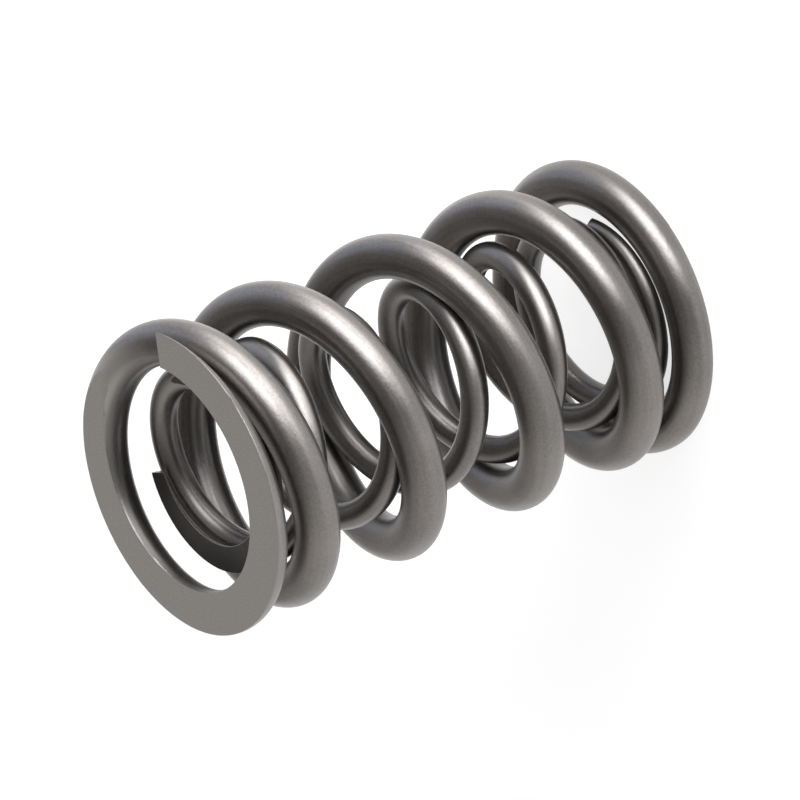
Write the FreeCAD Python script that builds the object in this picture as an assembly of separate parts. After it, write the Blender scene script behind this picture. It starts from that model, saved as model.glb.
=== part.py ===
import FreeCAD, Part
import math
import os

# Double valve spring for an engine, standing on its lower ground end.
# Two springs of round steel wire share one axis. The thick outer one is wound
# right-handed, the thin inner one left-handed, so that their coils can't lock.
# +Z runs up the axis, the origin is the axis on the floor, lengths are in millimetres.

# Outer spring
OUTER_WIRE = 4.7
OUTER_MEAN_DIAMETER = 28.1
OUTER_LENGTH = 58.0
OUTER_TURNS = 5.55
OUTER_TOP_ANGLE = -26.0
OUTER_TOP_TIP = 1.1
OUTER_FOOT_TIP = 0.7

# Inner spring, which lies inside the outer one and stops short of both its ground faces
INNER_WIRE = 2.95
RADIAL_CLEARANCE = 0.4
INNER_TOP_RECESS = 3.8
INNER_FOOT_RECESS = 1.6
INNER_TURNS = 6.70
INNER_TOP_ANGLE = 79.0
INNER_TOP_TIP = 0.6
INNER_FOOT_TIP = 1.0

# Gap between a closed end coil and the coil that it lies on
CLOSED_GAP = 0.04

# Where the coiling machine cut the wires off, the outer one's tips stand out a little and the
# inner one's are drawn in
OUTER_TIP_OFFSET = 0.6
INNER_TIP_OFFSET = -0.6
OFFSET_TURNS = 0.7

# How far the coils stand open down each wire: (turns from the top tip, share of the full opening).
# Below nought the wire runs nearly level, as it does half-way round the outer spring's top coil.
OUTER_OPENING = [
    (0.20, 0.00),
    (0.45, -0.30),
    (0.60, -0.30),
    (0.85, 0.50),
    (1.53, 0.69),
    (2.13, 1.00),
    (3.53, 1.00),
    (4.03, 0.58),
    (4.63, 0.85),
    (4.78, 0.00),
]
INNER_OPENING = [
    (0.70, 0.00),
    (1.50, 1.00),
    (5.20, 1.00),
    (5.92, 0.00),
]

# Turning sense on the way down, seen from above
RIGHT_HANDED = -1
LEFT_HANDED = 1

# The wire's skin is a smooth surface held by this many points round the wire and along each turn
POINTS_ROUND_WIRE = 12
STATIONS_PER_TURN = 20


def opened_turns(opening, turn):
    """Area under the opening plan, from the top tip down to a turn."""
    area = 0.0
    for (start, low), (end, high) in zip(opening, opening[1:]):
        reach = min(max(turn, start), end)
        share = low + (high - low) * (reach - start) / (end - start)
        area += (low + share) / 2 * (reach - start)
    return area


class Coil:
    """One wound wire, from its tip in the top ground face down to its tip in the lower one."""

    def __init__(self, wire, mean_diameter, length, turns, top_angle, hand, tips, opening, tip_offset):
        self.wire_radius = wire / 2
        self.coil_radius = mean_diameter / 2
        self.length = length
        self.turns = turns
        self.top_angle = math.radians(top_angle)
        self.hand = hand
        self.opening = opening
        self.tip_offset = tip_offset
        self.closed_pitch = wire + CLOSED_GAP
        top_tip, foot_tip = tips
        self.top = length - top_tip + self.wire_radius
        foot = foot_tip - self.wire_radius
        opened_rise = self.top - foot - self.closed_pitch * turns
        self.extra_pitch = opened_rise / opened_turns(opening, turns)

    def height(self, turn):
        """Height of the wire's centre at a turn, counted down from the top tip."""
        opened = self.extra_pitch * opened_turns(self.opening, turn)
        return self.top - self.closed_pitch * turn - opened

    def centre_radius(self, turn):
        """Distance of the wire's centre from the axis, which changes towards both tips."""
        from_tip = min(turn, self.turns - turn)
        return self.coil_radius + self.tip_offset * max(1 - from_tip / OFFSET_TURNS, 0) ** 2

    def centre(self, turn):
        angle = self.top_angle + self.hand * math.tau * turn
        radius = self.centre_radius(turn)
        return FreeCAD.Vector(radius * math.cos(angle), radius * math.sin(angle), self.height(turn))

    def section(self, turn):
        """Control points of the round section, square to the wire."""
        centre = self.centre(turn)
        step = 1e-4
        along = (self.centre(turn + step) - self.centre(turn - step)).normalize()
        outward = FreeCAD.Vector(centre.x, centre.y, 0).normalize()
        across = along.cross(outward)
        corner = math.tau / POINTS_ROUND_WIRE
        reach = 3 * self.wire_radius / (2 + math.cos(corner))
        turned = [corner * index for index in range(POINTS_ROUND_WIRE)]
        return [centre + (outward * math.cos(a) + across * math.sin(a)) * reach for a in turned]

    def skin(self):
        """The wire's round surface, as one smooth face."""
        stations = math.ceil(STATIONS_PER_TURN * self.turns)
        turns = [self.turns * index / stations for index in range(stations + 1)]
        tracks = []
        for points in zip(*[self.section(turn) for turn in turns]):
            track = Part.BSplineCurve()
            track.interpolate(Points=list(points), Parameters=turns)
            tracks.append(track)
        surface = Part.BSplineSurface()
        surface.buildFromPolesMultsKnots(
            [track.getPoles() for track in tracks],
            [1] * (POINTS_ROUND_WIRE + 1),
            tracks[0].getMultiplicities(),
            list(range(POINTS_ROUND_WIRE + 1)),
            tracks[0].getKnots(),
            True,
            False,
            3,
            3,
        )
        return surface.toShape()

    def wound(self):
        """The wire with square-cut ends, before grinding."""
        skin = self.skin()
        ends = [Part.Face(Part.Wire(edge)) for edge in skin.Edges if edge.Closed]
        closed = Part.Compound([skin] + ends)
        closed.sewShape()
        return Part.Solid(closed.Shells[0])

    def ground(self):
        """The wire with both ends ground flat and square to the axis."""
        reach = self.coil_radius + abs(self.tip_offset) + 2 * self.wire_radius
        return self.wound().common(Part.makeCylinder(reach, self.length))


def outer_spring():
    return Coil(
        OUTER_WIRE,
        OUTER_MEAN_DIAMETER,
        OUTER_LENGTH,
        OUTER_TURNS,
        OUTER_TOP_ANGLE,
        RIGHT_HANDED,
        (OUTER_TOP_TIP, OUTER_FOOT_TIP),
        OUTER_OPENING,
        OUTER_TIP_OFFSET,
    ).ground()


def inner_spring():
    outer_bore = OUTER_MEAN_DIAMETER - OUTER_WIRE
    spring = Coil(
        INNER_WIRE,
        outer_bore - 2 * RADIAL_CLEARANCE - INNER_WIRE,
        OUTER_LENGTH - INNER_TOP_RECESS - INNER_FOOT_RECESS,
        INNER_TURNS,
        INNER_TOP_ANGLE,
        LEFT_HANDED,
        (INNER_TOP_TIP, INNER_FOOT_TIP),
        INNER_OPENING,
        INNER_TIP_OFFSET,
    ).ground()
    return spring.translated(FreeCAD.Vector(0, 0, INNER_FOOT_RECESS))


os.makedirs("parts", exist_ok=True)
outer_spring().exportStep("parts/outer_spring.step")
inner_spring().exportStep("parts/inner_spring.step")
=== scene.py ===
import math

import bpy
import numpy as np
from mathutils import Matrix, Vector


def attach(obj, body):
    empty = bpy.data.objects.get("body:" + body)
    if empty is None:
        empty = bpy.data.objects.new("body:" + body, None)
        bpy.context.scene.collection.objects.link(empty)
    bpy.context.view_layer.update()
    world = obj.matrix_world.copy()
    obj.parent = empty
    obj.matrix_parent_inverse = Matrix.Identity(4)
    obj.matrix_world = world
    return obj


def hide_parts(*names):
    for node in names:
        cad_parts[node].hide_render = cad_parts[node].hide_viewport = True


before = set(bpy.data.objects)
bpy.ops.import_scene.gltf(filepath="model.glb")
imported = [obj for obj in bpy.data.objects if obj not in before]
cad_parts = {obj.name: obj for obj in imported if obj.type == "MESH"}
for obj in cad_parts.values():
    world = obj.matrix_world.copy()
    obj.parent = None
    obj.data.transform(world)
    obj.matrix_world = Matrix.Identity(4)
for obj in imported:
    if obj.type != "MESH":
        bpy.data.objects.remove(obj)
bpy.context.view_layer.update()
MM = 0.001


# Outer spring
# A thick round wire of chrome-silicon steel, coiled right-handed with closed ends. Each end is
# ground flat across the coil, so it stands square on the head and carries the retainer. The last
# turn at the foot runs nearly level, up to about 1.1 mm away from where the solid has it.
OUTER_WIRE = 4.7 * MM
OUTER_COIL_RADIUS = 14.05 * MM
OUTER_LENGTH = 58.0 * MM
OUTER_TURNS = 5.55
OUTER_TOP_ANGLE = math.radians(-26.0)
OUTER_TIPS = (1.1 * MM, 2.07 * MM)
OUTER_TIP_OFFSETS = (0.6 * MM, 0)
OFFSET_TURNS = 0.7
CLOSED_GAP = 0.04 * MM
RIGHT_HANDED = -1
OUTER_OPENING = {
    0.20: 0.00,
    0.45: -0.30,
    0.60: -0.30,
    0.85: 0.50,
    1.53: 0.69,
    2.13: 1.00,
    3.53: 1.00,
    4.03: 0.58,
    4.70: 0.87,
    4.82: -0.28,
    5.20: -0.28,
    5.40: -0.08,
    5.55: -0.08,
}
OUTER_POINTS_ROUND = 44
OUTER_STEPS_A_TURN = 96
EDGE_BREAK = 0.05 * MM
MERGE_DISTANCE = 3 * EDGE_BREAK
SMALLEST_EDGE = 0.001 * MM
CUT_TOLERANCE = 0.0001 * MM
SHARP_EDGE = math.radians(35)
SMOOTH_BELOW = math.radians(50)


def wind(name, wire, coil_radius, turns, points_round, steps_a_turn):
    """Spins a round section into a flat ring of many turns and gives the turn of each section."""
    bpy.ops.object.select_all(action="DESELECT")
    bpy.ops.mesh.primitive_circle_add(vertices=points_round, radius=wire / 2)
    coil = bpy.context.object
    coil.name = coil.data.name = name
    bpy.ops.object.mode_set(mode="EDIT")
    bpy.ops.mesh.select_all(action="SELECT")
    bpy.ops.transform.rotate(value=math.pi / 2, orient_axis="X", center_override=(0, 0, 0))
    bpy.ops.transform.translate(value=(coil_radius, 0, 0))
    steps = math.ceil(turns * steps_a_turn)
    bpy.ops.mesh.spin(steps=steps, angle=turns * math.tau, center=(0, 0, 0), axis=(0, 0, 1))
    bpy.ops.object.mode_set(mode="OBJECT")
    return coil, np.linspace(0, turns, steps + 1)


def heights_down_the_wire(stations, wire, length, tips, opening):
    """Height of the wire's centre at each station, from how far the coils stand open there."""
    top = length - tips[0] + wire / 2
    foot = tips[1] - wire / 2
    shares = np.interp(stations, list(opening), list(opening.values()))
    opened = np.append(0, np.cumsum((shares[1:] + shares[:-1]) / 2 * np.diff(stations)))
    closed = (wire + CLOSED_GAP) * stations
    extra_pitch = (top - foot - closed[-1]) / opened[-1]
    return top - closed - extra_pitch * opened


def pull_out(coil, stations, coil_radius, top_angle, hand, heights, tip_offsets):
    """Lifts each section to its height, square to the wire, and keeps its place on the straight wire."""
    points = np.array([v.co for v in coil.data.vertices]).reshape(len(stations), -1, 3)
    outwards = np.hypot(points[:, :, 0], points[:, :, 1]) - coil_radius
    upwards = points[:, :, 2]
    radii = coil_radius
    for tip_offset, from_tip in zip(tip_offsets, (stations, stations[-1] - stations)):
        radii = radii + tip_offset * np.maximum(1 - from_tip / OFFSET_TURNS, 0) ** 2
    angles = top_angle + hand * math.tau * stations
    slopes = np.arctan2(np.gradient(heights, stations), math.tau * radii)
    ahead = -upwards * np.sin(slopes)[:, None]
    distances = radii[:, None] + outwards
    cos, sin = np.cos(angles)[:, None], np.sin(angles)[:, None]
    x = distances * cos - hand * ahead * sin
    y = distances * sin + hand * ahead * cos
    z = heights[:, None] + upwards * np.cos(slopes)[:, None]
    coil.data.vertices.foreach_set("co", np.stack([x, y, z], axis=2).ravel())
    steps = np.hypot(np.diff(heights), np.diff(stations) * math.tau * coil_radius)
    along = np.append(0, np.cumsum(steps))[:, None] + 0 * outwards
    straight = coil.data.attributes.new("straight_wire", "FLOAT_VECTOR", "POINT")
    straight.data.foreach_set("vector", np.stack([along, outwards, upwards], axis=2).ravel())
    coil.data.update()


def grind_ends(coil, length):
    """Caps the wire, cuts both ends flat across the axis and breaks their sharp edges.

    The bevel can lift a corner a few microns past a flat, so heights are held between the two.
    """
    bpy.ops.object.mode_set(mode="EDIT")
    bpy.ops.mesh.select_mode(type="EDGE")
    bpy.ops.mesh.select_all(action="DESELECT")
    bpy.ops.mesh.select_non_manifold()
    bpy.ops.mesh.fill_holes(sides=0)
    bpy.ops.mesh.select_all(action="SELECT")
    bpy.ops.mesh.normals_make_consistent(inside=False)
    for height, side in ((length, 1), (0, -1)):
        bpy.ops.mesh.select_all(action="SELECT")
        plane = {"plane_co": (0, 0, height), "plane_no": (0, 0, side)}
        bpy.ops.mesh.bisect(**plane, use_fill=True, clear_outer=True, threshold=CUT_TOLERANCE)
        bpy.ops.mesh.remove_doubles(threshold=MERGE_DISTANCE)
        bpy.ops.mesh.quads_convert_to_tris(ngon_method="BEAUTY")
    bpy.ops.mesh.select_all(action="DESELECT")
    bpy.ops.mesh.edges_select_sharp(sharpness=SHARP_EDGE)
    bpy.ops.mesh.bevel(offset=EDGE_BREAK, segments=2, affect="EDGES", clamp_overlap=False)
    bpy.ops.mesh.select_all(action="SELECT")
    bpy.ops.mesh.dissolve_degenerate(threshold=SMALLEST_EDGE)
    bpy.ops.mesh.normals_make_consistent(inside=False)
    bpy.ops.object.mode_set(mode="OBJECT")
    for vertex in coil.data.vertices:
        vertex.co.z = min(max(vertex.co.z, 0), length)
    bpy.ops.object.shade_smooth_by_angle(angle=SMOOTH_BELOW)
    bpy.ops.object.modifier_add(type="WEIGHTED_NORMAL")
    coil.modifiers[-1].keep_sharp = True
    bpy.ops.object.modifier_apply(modifier=coil.modifiers[-1].name)


class Amount:
    """A number that changes over a surface. Its operators add Math nodes."""

    def __init__(self, socket):
        self.socket = socket

    def math(self, operation, *others):
        tree = self.socket.id_data
        node = tree.nodes.new("ShaderNodeMath")
        node.operation = operation
        for entry, value in zip(node.inputs, (self, *others)):
            if isinstance(value, Amount):
                tree.links.new(value.socket, entry)
            else:
                entry.default_value = value
        return Amount(node.outputs[0])

    def __add__(self, other):
        return self.math("ADD", other)

    def __sub__(self, other):
        return self.math("SUBTRACT", other)

    def __rsub__(self, other):
        return (self * -1).math("ADD", other)

    def __mul__(self, other):
        return self.math("MULTIPLY", other)

    __radd__ = __add__
    __rmul__ = __mul__


class Finish:
    """A node tree whose nodes all come from one method."""

    def __init__(self, owner):
        owner.use_nodes = True
        self.tree = owner.node_tree
        self.tree.nodes.clear()

    def node(self, kind, settings=None, links=None):
        """Adds a node, sets its settings and then its sockets, and returns its outputs."""
        node = self.tree.nodes.new("ShaderNode" + kind)
        for name, value in (settings or {}).items():
            setattr(node, name, value)
        for name, value in (links or {}).items():
            source = getattr(value, "socket", value)
            if isinstance(source, bpy.types.NodeSocket):
                self.tree.links.new(source, node.inputs[name])
            else:
                node.inputs[name].default_value = source
        return node.outputs

    def noise(self, place, scale, detail=3.0):
        return Amount(self.node("TexNoise", {}, {"Vector": place, "Scale": scale, "Detail": detail})["Fac"])

    def ramp(self, amount, low, high, start=0.0, end=1.0):
        """An amount eased from start to end while it goes from low to high."""
        limits = {"Value": amount, "From Min": low, "From Max": high, "To Min": start, "To Max": end}
        return Amount(self.node("MapRange", {"interpolation_type": "SMOOTHSTEP"}, limits)["Result"])


outer, outer_stations = wind(
    "outer_wire_coil", OUTER_WIRE, OUTER_COIL_RADIUS, OUTER_TURNS, OUTER_POINTS_ROUND, OUTER_STEPS_A_TURN
)
outer_heights = heights_down_the_wire(outer_stations, OUTER_WIRE, OUTER_LENGTH, OUTER_TIPS, OUTER_OPENING)
pull_out(
    outer, outer_stations, OUTER_COIL_RADIUS, OUTER_TOP_ANGLE, RIGHT_HANDED, outer_heights, OUTER_TIP_OFFSETS
)
grind_ends(outer, OUTER_LENGTH)
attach(outer, "root")
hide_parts("outer_spring")


# Inner spring
# A thinner wire of the same steel, coiled left-handed so that its coils can't drop between the
# outer ones. It stops short of both outer ends, for the steps of the retainer and of the seat.
INNER_WIRE = 2.95 * MM
RADIAL_CLEARANCE = 0.4 * MM
INNER_COIL_RADIUS = OUTER_COIL_RADIUS - OUTER_WIRE / 2 - RADIAL_CLEARANCE - INNER_WIRE / 2
INNER_TOP_RECESS = 3.8 * MM
INNER_FOOT_RECESS = 1.6 * MM
INNER_LENGTH = OUTER_LENGTH - INNER_TOP_RECESS - INNER_FOOT_RECESS
INNER_TURNS = 6.70
INNER_TOP_ANGLE = math.radians(79.0)
INNER_TIPS = (0.6 * MM, 1.0 * MM)
INNER_TIP_OFFSETS = (-0.6 * MM, -0.6 * MM)
LEFT_HANDED = 1
INNER_OPENING = {0.70: 0.00, 1.50: 1.00, 5.20: 1.00, 5.92: 0.00}
INNER_POINTS_ROUND = 32
INNER_STEPS_A_TURN = 84

inner, inner_stations = wind(
    "inner_wire_coil", INNER_WIRE, INNER_COIL_RADIUS, INNER_TURNS, INNER_POINTS_ROUND, INNER_STEPS_A_TURN
)
inner_heights = heights_down_the_wire(inner_stations, INNER_WIRE, INNER_LENGTH, INNER_TIPS, INNER_OPENING)
pull_out(
    inner, inner_stations, INNER_COIL_RADIUS, INNER_TOP_ANGLE, LEFT_HANDED, inner_heights, INNER_TIP_OFFSETS
)
grind_ends(inner, INNER_LENGTH)
inner.location.z = INNER_FOOT_RECESS
bpy.ops.object.transform_apply(location=True)
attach(inner, "root")
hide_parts("inner_spring")


# Wire steel
# Both wires are drawn, hardened and shot-peened: a warm satin grey with faint lines along the
# wire and a close field of tiny dents. Painted shade darkens the side that faces the axis, and a
# painted sheen lightens the steel that faces along the axis where the wire runs into the flat ends.
DRAWN_GREY = (0.258, 0.240, 0.228, 1)
DARKER_GREY = (0.180, 0.168, 0.159, 1)
PAINTED_SHADE_GREY = (0.10, 0.094, 0.089, 1)
PAINTED_SHEEN_GREY = (0.56, 0.527, 0.505, 1)
PAINTED_SHEEN_BAND = 1.1 * MM
LINE_SCALE = 2600
LINE_STRETCH = 0.02
DENT_SCALE = 3800
CLOUD_SCALE = 160
DENT_DEPTH = 0.018 * MM


def wire_steel(name, wire, foot, top):
    material = bpy.data.materials.new(name)
    steel = Finish(material)
    straight = steel.node("Attribute", {"attribute_name": "straight_wire"})["Vector"]
    stretched = {0: straight, 1: (LINE_STRETCH, 1, 1)}
    drawn = steel.node("VectorMath", {"operation": "MULTIPLY"}, stretched)["Vector"]
    lines = steel.noise(drawn, LINE_SCALE, 4)
    dents = steel.noise(straight, DENT_SCALE)
    clouds = steel.noise(straight, CLOUD_SCALE)
    coordinates = steel.node("TexCoord")
    height = Amount(steel.node("SeparateXYZ", {}, {"Vector": coordinates["Object"]})["Z"])
    tilt = Amount(steel.node("SeparateXYZ", {}, {"Vector": coordinates["Normal"]})["Z"]).math("ABSOLUTE")
    # Painted sheen: near each flat end, steel that faces along the axis is painted a lighter grey.
    near_top = steel.ramp(height, top - PAINTED_SHEEN_BAND, top)
    near_foot = steel.ramp(height, foot + PAINTED_SHEEN_BAND, foot)
    painted_sheen = near_top.math("MAXIMUM", near_foot) * steel.ramp(tilt, 0.5, 0.9, 0.15, 1)
    # Painted shade: the side of the wire that faces the axis is painted darker.
    inwards = Amount(steel.node("SeparateXYZ", {}, {"Vector": straight})["Y"])
    painted_shade = steel.ramp(inwards, -0.15 * wire, -0.5 * wire, 0, 0.75)
    shade = steel.ramp(clouds * 0.4 + lines * 0.25 + dents * 0.35, 0.34, 0.66)
    grey = steel.node("Mix", {"data_type": "RGBA"}, {"Factor": shade, 6: DARKER_GREY, 7: DRAWN_GREY})[2]
    dark = steel.node("Mix", {"data_type": "RGBA"}, {"Factor": painted_shade, 6: grey, 7: PAINTED_SHADE_GREY})[2]
    bright = steel.node("Mix", {"data_type": "RGBA"}, {"Factor": painted_sheen * 0.95, 6: dark, 7: PAINTED_SHEEN_GREY})[2]
    roughness = 0.26 + lines * 0.08 + clouds * 0.08 + painted_sheen * 0.10
    relief = dents * 0.85 + lines * 0.15
    bump = steel.node("Bump", {}, {"Strength": 0.8, "Distance": DENT_DEPTH, "Height": relief})["Normal"]
    inputs = {"Base Color": bright, "Metallic": 1.0, "Roughness": roughness, "Normal": bump}
    surface = steel.node("BsdfPrincipled", {}, inputs)["BSDF"]
    steel.node("OutputMaterial", {}, {"Surface": surface})
    return material


# Ground steel
# The wheel leaves the flat ends matt and even, with a fine grain and a few faint scratches. The
# outer spring's are a little brighter than the wire. The inner one's carry painted shade for their recess.
GROUND_GREYS_AND_PAINTED_SHADE = {
    "outer": ((0.575, 0.541, 0.518, 1), (0.49, 0.461, 0.441, 1)),
    # The inner greys are painted shade: the same ground steel, painted darker for its recess.
    "inner": ((0.150, 0.143, 0.133, 1), (0.115, 0.110, 0.102, 1)),
}
SCRATCH_BEARINGS = (35, 58)
SCRATCH_SCALE = 5200
SCRATCH_STRETCH = 0.03
GRAIN_SCALE = 5000
GRAIN_DEPTH = 0.004 * MM
LEVEL_FACE = 0.9999
END_TOLERANCE = 0.001 * MM


def ground_steel(name, even, scratched):
    material = bpy.data.materials.new(name)
    steel = Finish(material)
    place = steel.node("TexCoord")["Object"]
    scratches = 0
    for bearing in SCRATCH_BEARINGS:
        rotation = (0, 0, math.radians(bearing))
        turned = {"Vector": place, "Rotation": rotation, "Scale": (1, SCRATCH_STRETCH, 1)}
        along = steel.node("Mapping", {}, turned)["Vector"]
        scratches = scratches + steel.noise(along, SCRATCH_SCALE) * 0.5
    grain = steel.noise(place, GRAIN_SCALE)
    shade = steel.ramp(scratches * 0.12 + grain * 0.88, 0.34, 0.66)
    grey = steel.node("Mix", {"data_type": "RGBA"}, {"Factor": shade, 6: scratched, 7: even})[2]
    roughness = 0.40 + scratches * 0.1
    relief = scratches * 0.3 + grain
    bump = steel.node("Bump", {}, {"Strength": 0.4, "Distance": GRAIN_DEPTH, "Height": relief})["Normal"]
    inputs = {"Base Color": grey, "Metallic": 1.0, "Roughness": roughness, "Normal": bump}
    surface = steel.node("BsdfPrincipled", {}, inputs)["BSDF"]
    steel.node("OutputMaterial", {}, {"Surface": surface})
    return material


for coil, side, wire, foot, top in (
    (outer, "outer", OUTER_WIRE, 0.0, OUTER_LENGTH),
    (inner, "inner", INNER_WIRE, INNER_FOOT_RECESS, INNER_FOOT_RECESS + INNER_LENGTH),
):
    coil.data.materials.append(wire_steel(side + "_wire_steel", wire, foot, top))
    coil.data.materials.append(ground_steel(side + "_ground_steel", *GROUND_GREYS_AND_PAINTED_SHADE[side]))
    for face in coil.data.polygons:
        level = abs(face.normal.z) > LEVEL_FACE
        at_an_end = min(abs(face.center.z - foot), abs(face.center.z - top)) < END_TOLERANCE
        face.material_index = 1 if level and at_an_end else 0


# Camera
# It looks down on the top end of the standing spring and is rolled, so that the spring lies
# across the frame.
CAMERA_ELEVATION = math.radians(33.02)
CAMERA_ROLL = math.radians(112.3)
CAMERA_DISTANCE = 735.8 * MM
TOP_END_LEFT = 22.62 * MM
TOP_END_DOWN = 8.45 * MM
FOCAL_LENGTH_MM = 326.5

back = Vector((0, -math.cos(CAMERA_ELEVATION), math.sin(CAMERA_ELEVATION)))
upright = Vector((0, math.sin(CAMERA_ELEVATION), math.cos(CAMERA_ELEVATION)))
level = Vector((1, 0, 0))
right = math.cos(CAMERA_ROLL) * level - math.sin(CAMERA_ROLL) * upright
up = math.sin(CAMERA_ROLL) * level + math.cos(CAMERA_ROLL) * upright
bpy.ops.object.camera_add()
camera = bpy.context.object
camera.data.lens = FOCAL_LENGTH_MM
camera.data.clip_start = 10 * MM
place = Vector((0, 0, OUTER_LENGTH)) + back * CAMERA_DISTANCE + right * TOP_END_LEFT + up * TOP_END_DOWN
camera.matrix_world = Matrix.Translation(place) @ Matrix((right, up, back)).transposed().to_4x4()
bpy.context.scene.camera = camera


# Floor
# A plain white table, a little brighter where the panel's light falls on it. It looks the same
# straight on and in the steel, and keeps the spring's soft shadow. Each pool of light has its
# bearing in degrees, its distance, where it starts and is full, and its strength.
TABLE_SIZE = 3.0
TABLE_GLOW = 0.69
TABLE_GREY = (0.36, 0.36, 0.36, 1)
TABLE_POOLS = {
    "before the panel": (-45, 0.28, 0.25, 0.13, 4.2),
    "in front of the foot": (40, 0.07, 0.09, 0.02, 0.45),
}
FLOOR_GAP = 0.02 * MM
bpy.ops.mesh.primitive_plane_add(size=TABLE_SIZE, location=(0, 0, -FLOOR_GAP))
floor = bpy.context.object
floor.name = "floor"
white_table = bpy.data.materials.new("white_table")
table = Finish(white_table)
place = table.node("TexCoord")["Object"]
glow = TABLE_GLOW
for bearing, distance, edge, full, strength in TABLE_POOLS.values():
    bearing = math.radians(bearing)
    middle = (distance * math.cos(bearing), distance * math.sin(bearing), 0)
    away = table.node("VectorMath", {"operation": "DISTANCE"}, {0: place, 1: middle})["Value"]
    glow = glow + table.ramp(away, edge, full, 0, strength)
rays = table.node("LightPath")
seen = Amount(rays["Is Camera Ray"]) + Amount(rays["Is Glossy Ray"]) + Amount(rays["Is Transmission Ray"])
lit = table.node("Emission", {}, {"Strength": glow * seen.math("MINIMUM", 1)})["Emission"]
matt = table.node("BsdfDiffuse", {}, {"Color": TABLE_GREY})["BSDF"]
both = table.node("AddShader", {}, {0: matt, 1: lit})["Shader"]
table.node("OutputMaterial", {}, {"Surface": both})
floor.data.materials.append(white_table)
white_table.cycles.emission_sampling = "NONE"


# Studio
# A room that darkens towards the ceiling, with one broad soft panel beside the spring, a small
# cool one in front and a faint glow behind. Straight on, and through glass, it is plain white.
# Each panel has its bearing, its rise, how far it is full and where it ends, all in degrees,
# then its strength and its tint.
ROOM_LIGHT = 0.5
CEILING_LIGHT = 0.4 * ROOM_LIGHT
CEILING_FROM, CEILING_TO = 0.4, 0.9
WARM_WHITE = (1.0, 0.99, 0.97)
PANELS = {
    "broad soft panel": (-49, 3, 14, 46, 6.6, (0.98, 1.0, 1.04)),
    "small cool panel": (30, 4, 5, 38, 0.5, (0.7, 0.9, 1.35)),
    "faint glow behind": (172, 4, 10, 72, 0.37, WARM_WHITE),
}
OVERHEAD_PLACE = (-0.35, -0.25, 0.9)
OVERHEAD_POWER = 3.5
OVERHEAD_SIZE = 0.7
scene = bpy.context.scene
scene.view_settings.view_transform = "Standard"
scene.world = bpy.data.worlds.new("studio")
room = Finish(scene.world)
look = room.node("TexCoord")["Generated"]
steepness = Amount(room.node("SeparateXYZ", {}, {"Vector": look})["Z"])
dimming = room.ramp(steepness, CEILING_FROM, CEILING_TO, ROOM_LIGHT, CEILING_LIGHT)
light = room.node("VectorMath", {"operation": "SCALE"}, {0: WARM_WHITE, "Scale": dimming})["Vector"]
for bearing, rise, full, edge, strength, tint in PANELS.values():
    bearing, rise = math.radians(bearing), math.radians(rise)
    towards = (math.cos(bearing) * math.cos(rise), math.sin(bearing) * math.cos(rise), math.sin(rise))
    facing = room.node("VectorMath", {"operation": "DOT_PRODUCT"}, {0: look, 1: towards})["Value"]
    amount = room.ramp(facing, math.cos(math.radians(edge)), math.cos(math.radians(full)), 0, strength)
    panel = room.node("VectorMath", {"operation": "SCALE"}, {0: tint, "Scale": amount})["Vector"]
    light = room.node("VectorMath", {"operation": "ADD"}, {0: light, 1: panel})["Vector"]
studio = room.node("Background", {}, {"Color": light})["Background"]
plain = room.node("Background", {}, {"Color": (1, 1, 1, 1)})["Background"]
rays = room.node("LightPath")
seen = Amount(rays["Is Camera Ray"]) + Amount(rays["Is Transmission Ray"])
either = room.node("MixShader", {}, {0: seen, 1: studio, 2: plain})["Shader"]
room.node("OutputWorld", {}, {"Surface": either})

bpy.ops.object.light_add(type="AREA", location=OVERHEAD_PLACE)
overhead = bpy.context.object
overhead.rotation_euler = (-overhead.location).to_track_quat("-Z", "Y").to_euler()
overhead.data.energy = OVERHEAD_POWER
overhead.data.size = OVERHEAD_SIZE
overhead.visible_glossy = False
